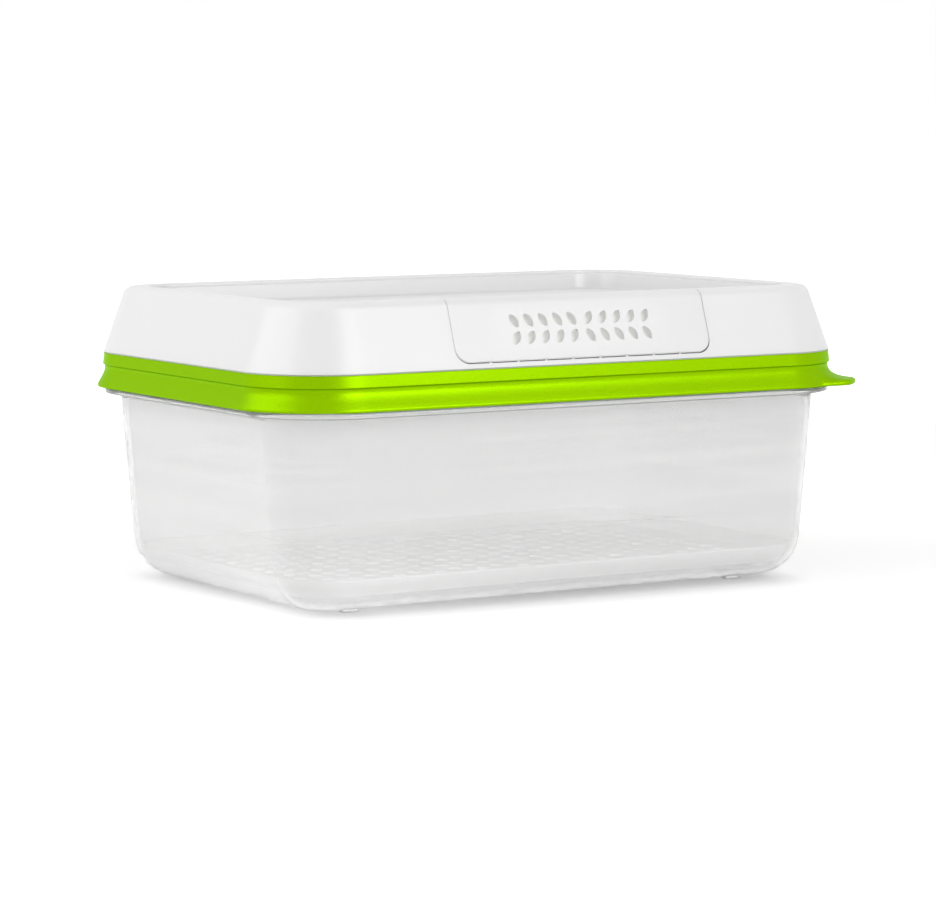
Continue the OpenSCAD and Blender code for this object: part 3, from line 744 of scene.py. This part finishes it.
# Vent cover: a white polypropylene plate, moulded to the curve of the lid's front and pressed into
# the pocket flush with the wall. Two rows of leaf-shaped holes let air through, and small bridges
# along its foot rest on the pocket's ledge and leave a fine air slot.
COVER_THICK = 1.8
COVER_EASE = 0.25
BACK_EASE = 0.2
COVER_ROUND_STEPS = 10
SEAM_DEEP = 0.3
SEAM_CLOSE = COVER_GAP - 0.04
LEAF_LONG = 7.1
LEAF_WIDE = 3.9
LEAF_LEAN = radians(32)
LEAF_COUNT = 5
LEAF_PITCH = 7.7
LEAF_MIDDLE = 8.9
LEAF_ROWS = 8.1
LEAF_EASE = 0.25
LEAF_ARC_STEPS = 12
BRIDGE_COUNT = 8
BRIDGE_PITCH = 14.6
BRIDGE_WIDE = 1.2
BRIDGE_SUNK = 0.25
# Ring of narrow faces round each hole that keeps the shading of the flat face flat
FLAT_RING = 0.35
cover_low = COVER_FOOT * per_rise
cover_high = land_end - COVER_GAP
cover_back = COVER_THICK - BACK_EASE
leaf_r = (LEAF_LONG ** 2 + LEAF_WIDE ** 2) / 4 / LEAF_WIDE
leaf_off = leaf_r - LEAF_WIDE / 2
roll_rows = [a for a in front_up[1:-1] if a < cover_high - COVER_EASE - 0.2]
leaves = []
for side in (-1, 1):
    for row in (-1, 1):
        for k in range(LEAF_COUNT):
            across = side * (LEAF_MIDDLE / 2 + k * LEAF_PITCH)
            up = LEAF_RISE * per_rise + row * LEAF_ROWS / 2
            leaves.append((Vector((across, up)), Matrix.Rotation(-side * row * LEAF_LEAN, 2)))


def cover_outline(inset):
    """Outline of the cover, anticlockwise from its lower right corner, with points on the roll."""
    half, r = COVER_HALF - inset, COVER_ROUND - inset
    low, high = cover_low + inset, cover_high - inset
    turns = [pi / 2 * k / COVER_ROUND_STEPS for k in range(COVER_ROUND_STEPS + 1)]
    right = [Vector((half - r + r * sin(a), low + r - r * cos(a))) for a in turns]
    right += [Vector((half, up)) for up in roll_rows] + [Vector((half, high))]
    return right + [Vector((-p.x, p.y)) for p in reversed(right)]


def leaf_outline(spot, turn, grow):
    """Pointed oval between two arcs, grown outwards by a margin."""
    r = leaf_r + grow
    half_turn = acos(leaf_off / r)
    points = []
    for side in (1, -1):
        for n in range(LEAF_ARC_STEPS):
            a = half_turn * (2 * n / LEAF_ARC_STEPS - 1)
            points.append(Vector((r * cos(a) - leaf_off, r * sin(a))) * side)
    return [spot + turn @ p for p in points]


def in_leaf(point):
    """True in a leaf hole."""
    for spot, turn in leaves:
        local = turn.transposed() @ (point - spot)
        if hypot(abs(local.x) + leaf_off, local.y) < leaf_r:
            return True
    return False


def cover_face(bm, deep, inset, grow):
    """One face of the cover: a sheet with the leaf holes, laid on the curve of the lid's front."""
    outline = cover_outline(inset)
    count = len(outline)
    points, edges = list(outline), [(k, (k + 1) % count) for k in range(count)]
    # A straight edge across the cover at each row of the roll
    on_roll = range(COVER_ROUND_STEPS + 1, COVER_ROUND_STEPS + 1 + len(roll_rows))
    edges += [(k, count - 1 - k) for k in on_roll]
    for spot, turn in leaves:
        for margin in (grow, grow + FLAT_RING):
            first = len(points)
            loop = leaf_outline(spot, turn, margin)
            points += loop
            edges += [(first + k, first + (k + 1) % len(loop)) for k in range(len(loop))]
    flat, _, faces, *_ = geometry.delaunay_2d_cdt(points, edges, [], 1, 1e-5)
    verts = [bm.verts.new(on_front(p.x, p.y, deep)) for p in flat]
    for face in faces:
        if not in_leaf(sum((flat[k] for k in face), Vector((0, 0))) / len(face)):
            bm.faces.new([verts[k] for k in face])


def cover_wall(bm, loops):
    """Edge wall through like loops of points, each with its depth in the cover."""
    rings = [[bm.verts.new(on_front(p.x, p.y, deep)) for p in loop] for loop, deep in loops]
    for ring, after in zip(rings, rings[1:]):
        for k in range(len(ring)):
            j = (k + 1) % len(ring)
            bm.faces.new((ring[k], ring[j], after[j], after[k]))


def eased_wall(ease):
    """Margin and depth down an edge whose front corner is rounded over."""
    turns = [pi / 8 * k for k in range(5)]
    steps = [(ease * (1 - sin(a)), ease * (1 - cos(a))) for a in turns]
    return steps + [(0, cover_back), (BACK_EASE, COVER_THICK)]


bm = bmesh.new()
cover_face(bm, 0, COVER_EASE, LEAF_EASE)
cover_face(bm, COVER_THICK, BACK_EASE, BACK_EASE)
# Behind the seam the edge steps out and closes the gap, so the seam stays shallow
edge_steps = eased_wall(COVER_EASE)
edge_steps[-2:-1] = [(0, SEAM_DEEP), (-SEAM_CLOSE, SEAM_DEEP), (-SEAM_CLOSE, cover_back)]
cover_wall(bm, [(cover_outline(margin), deep) for margin, deep in edge_steps])
leaf_steps = eased_wall(LEAF_EASE)
for spot, turn in leaves:
    cover_wall(bm, [(leaf_outline(spot, turn, margin), deep) for margin, deep in leaf_steps])
# The bridges along the foot stand in the slot, a little behind the skin
bridge_foot = ((-1, BRIDGE_SUNK), (1, BRIDGE_SUNK), (1, cover_back), (-1, cover_back))
for k in range(BRIDGE_COUNT):
    x = (k - (BRIDGE_COUNT - 1) / 2) * BRIDGE_PITCH
    low, high = [[bm.verts.new(on_front(x + sx * BRIDGE_WIDE / 2, along, deep))
                  for sx, deep in bridge_foot]
                 for along in (pocket_low + 0.03, cover_low + 0.6)]
    bm.faces.new(low)
    bm.faces.new(high)
    for n in range(4):
        bm.faces.new((low[n], low[(n + 1) % 4], high[(n + 1) % 4], high[n]))
moulded_piece("vent_cover_plate", bm, "lid", "cover_white", white, "vent_cover", sharp=9)

# Filter: a thin pad of pale nonwoven felt, cut to a rectangle and laid on the floor of the pocket
# behind the holes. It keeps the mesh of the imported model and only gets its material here.
felt = bpy.data.materials.new("nonwoven_felt")
felt.use_nodes = True
tree = felt.node_tree
shader = tree.nodes["Principled BSDF"]
shader.inputs["Roughness"].default_value = 0.9
# Painted light: the felt glows in its own colour, in place of daylight that the white plastic round
# it lets through
shader.inputs["Emission Strength"].default_value = 0.3
place = tree.nodes.new("ShaderNodeTexCoord")
fibres = tree.nodes.new("ShaderNodeTexNoise")
fibres.inputs["Scale"].default_value = 900
fibres.inputs["Detail"].default_value = 6
fibres.inputs["Distortion"].default_value = 2.5
tint = tree.nodes.new("ShaderNodeMix")
tint.data_type = "RGBA"
tint.inputs["A"].default_value = (0.70, 0.70, 0.68, 1)
tint.inputs["B"].default_value = (0.90, 0.90, 0.88, 1)
bump = tree.nodes.new("ShaderNodeBump")
bump.inputs["Distance"].default_value = 0.0002
tree.links.new(place.outputs["Object"], fibres.inputs["Vector"])
tree.links.new(fibres.outputs["Fac"], tint.inputs["Factor"])
tree.links.new(tint.outputs["Result"], shader.inputs["Base Color"])
tree.links.new(tint.outputs["Result"], shader.inputs["Emission Color"])
tree.links.new(fibres.outputs["Fac"], bump.inputs["Height"])
tree.links.new(bump.outputs["Normal"], shader.inputs["Normal"])
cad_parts["vent_filter"].material_slots[0].material = felt

# Studio: a white paper floor that keeps the box's soft shadow, deepened by a painted shadow near
# its foot, a white surround, and softboxes at the front right and the left, above the box.
FLOOR_HALF = 12
floor_mesh = bpy.data.meshes.new("floor")
corners = [(sx * FLOOR_HALF, sy * FLOOR_HALF, 0) for sx, sy, _ in CORNERS]
floor_mesh.from_pydata(corners, [], [(0, 1, 2, 3)])
floor = bpy.data.objects.new("floor", floor_mesh)
bpy.context.scene.collection.objects.link(floor)
FLOOR_GREY = 0.8
FLOOR_GLOW = 0.44
# Painted shadow: the paper glows less near the box's foot
PAINTED_SHADOW_GLOW = 0.07
PAINTED_SHADOW_START, PAINTED_SHADOW_END = 0.006, 0.044
FADE_START, FADE_END = 0.45, 1.3
paper = bpy.data.materials.new("white_paper")
paper.use_nodes = True
tree = paper.node_tree
tree.nodes.clear()
add, link = tree.nodes.new, tree.links.new
out = add("ShaderNodeOutputMaterial")
matt = add("ShaderNodeBsdfDiffuse")
matt.inputs["Color"].default_value = (FLOOR_GREY, FLOOR_GREY, FLOOR_GREY, 1)


def seen_rays(tree):
    """1 for rays that show the surround, to the camera, off gloss or through plastic, else 0."""
    path = tree.nodes.new("ShaderNodeLightPath")
    first, second, shown, direct = (tree.nodes.new("ShaderNodeMath") for _ in range(4))
    first.operation = second.operation = "MAXIMUM"
    direct.operation = "LESS_THAN"
    direct.inputs[1].default_value = 0.5
    shown.operation = "MULTIPLY"
    tree.links.new(path.outputs["Diffuse Depth"], direct.inputs[0])
    tree.links.new(second.outputs[0], shown.inputs[0])
    tree.links.new(direct.outputs[0], shown.inputs[1])
    tree.links.new(path.outputs["Is Camera Ray"], first.inputs[0])
    tree.links.new(path.outputs["Is Transmission Ray"], first.inputs[1])
    tree.links.new(path.outputs["Is Glossy Ray"], second.inputs[0])
    tree.links.new(first.outputs[0], second.inputs[1])
    return shown.outputs[0]


glow = add("ShaderNodeEmission")
both = add("ShaderNodeAddShader")
# Painted shadow: the paper's glow drops near the box's foot, which darkens the paper beside the box
# over its real shadow, and away from the box the paper reads as plain white, as the surround does
spot = add("ShaderNodeTexCoord")
beside, outside, no_less, near, away = (add("ShaderNodeVectorMath") for _ in range(5))
beside.operation = "ABSOLUTE"
outside.operation = "SUBTRACT"
outside.inputs[1].default_value = (foot_x * MM, foot_y * MM, 0)
no_less.operation = "MAXIMUM"
near.operation = away.operation = "LENGTH"
link(spot.outputs["Object"], beside.inputs[0])
link(beside.outputs["Vector"], outside.inputs[0])
link(outside.outputs["Vector"], no_less.inputs[0])
link(no_less.outputs["Vector"], near.inputs[0])
link(spot.outputs["Object"], away.inputs[0])
levels = []
fades = ((near, PAINTED_SHADOW_START, PAINTED_SHADOW_END, PAINTED_SHADOW_GLOW, FLOOR_GLOW),
         (away, FADE_START, FADE_END, 0, 1))
for measure, start, end, low, high in fades:
    fade = add("ShaderNodeMapRange")
    fade.interpolation_type = "SMOOTHSTEP"
    fade.inputs["From Min"].default_value = start
    fade.inputs["From Max"].default_value = end
    fade.inputs["To Min"].default_value = low
    fade.inputs["To Max"].default_value = high
    link(measure.outputs["Value"], fade.inputs["Value"])
    levels.append(fade.outputs["Result"])
# Through the plastic the paper reads as plain white too
brighter, most, glow_level = (add("ShaderNodeMath") for _ in range(3))
brighter.operation = most.operation = "MAXIMUM"
glow_level.operation = "MULTIPLY"
path = add("ShaderNodeLightPath")
link(levels[0], brighter.inputs[0])
link(levels[1], brighter.inputs[1])
link(brighter.outputs[0], most.inputs[0])
link(path.outputs["Is Transmission Ray"], most.inputs[1])
link(most.outputs[0], glow_level.inputs[1])
link(seen_rays(tree), glow_level.inputs[0])
link(glow_level.outputs[0], glow.inputs["Strength"])
link(matt.outputs[0], both.inputs[0])
link(glow.outputs[0], both.inputs[1])
# Seen from below the paper is clear, so that it doesn't hide the underside of the box
clear = add("ShaderNodeBsdfTransparent")
side = add("ShaderNodeNewGeometry")
facing = add("ShaderNodeMixShader")
link(side.outputs["Backfacing"], facing.inputs[0])
link(both.outputs[0], facing.inputs[1])
link(clear.outputs[0], facing.inputs[2])
link(facing.outputs[0], out.inputs["Surface"])
floor.data.materials.append(paper)

SURROUND_LIGHT = 0.5
world = bpy.data.worlds.new("white_surround")
bpy.context.scene.world = world
world.use_nodes = True
tree = world.node_tree
level = tree.nodes.new("ShaderNodeMapRange")
level.inputs["To Min"].default_value = SURROUND_LIGHT
level.inputs["To Max"].default_value = 1
tree.links.new(seen_rays(tree), level.inputs["Value"])
tree.links.new(level.outputs["Result"], tree.nodes["Background"].inputs["Strength"])
tree.nodes["Background"].inputs["Color"].default_value = (1, 1, 1, 1)


def softbox(name, place, aim, size, watts):
    """Rectangular soft light that points at a spot."""
    lamp = bpy.data.lights.new(name, "AREA")
    lamp.shape = "RECTANGLE"
    lamp.size, lamp.size_y = size
    lamp.energy = watts
    made = bpy.data.objects.new(name, lamp)
    bpy.context.scene.collection.objects.link(made)
    made.location = place
    made.rotation_euler = (Vector(aim) - Vector(place)).to_track_quat("-Z", "Y").to_euler()
    made.visible_camera = made.visible_transmission = False
    return made


softbox("front_right_softbox", place=(0.44, -1.56, 1.05), aim=(0, 0, 0.08),
        size=(1.15, 1.1), watts=13.3)
softbox("left_softbox", place=(-1.48, 0.42, 0.95), aim=(0, 0, 0.08),
        size=(2.0, 1.1), watts=14.8)
# A low softbox that only shows as a sheen on the front
sheen = softbox("front_sheen_softbox", place=(0.33, -1.52, 0.54), aim=(0, 0, 0.1),
                size=(0.9, 0.6), watts=7.5)
sheen.visible_diffuse = False

# Camera: the photograph's view, from the front left and a little above
camera = bpy.data.cameras.new("camera")
camera.lens = 136.5
camera.sensor_width = 36
camera.clip_start, camera.clip_end = 0.05, 100
viewer = bpy.data.objects.new("camera", camera)
bpy.context.scene.collection.objects.link(viewer)
viewer.location = (-0.870, -1.465, 0.2335)
viewer.rotation_euler = (radians(90 - 5.76), radians(0.2), radians(-30.75))
bpy.context.scene.camera = viewer
bpy.context.scene.view_settings.view_transform = "Standard"
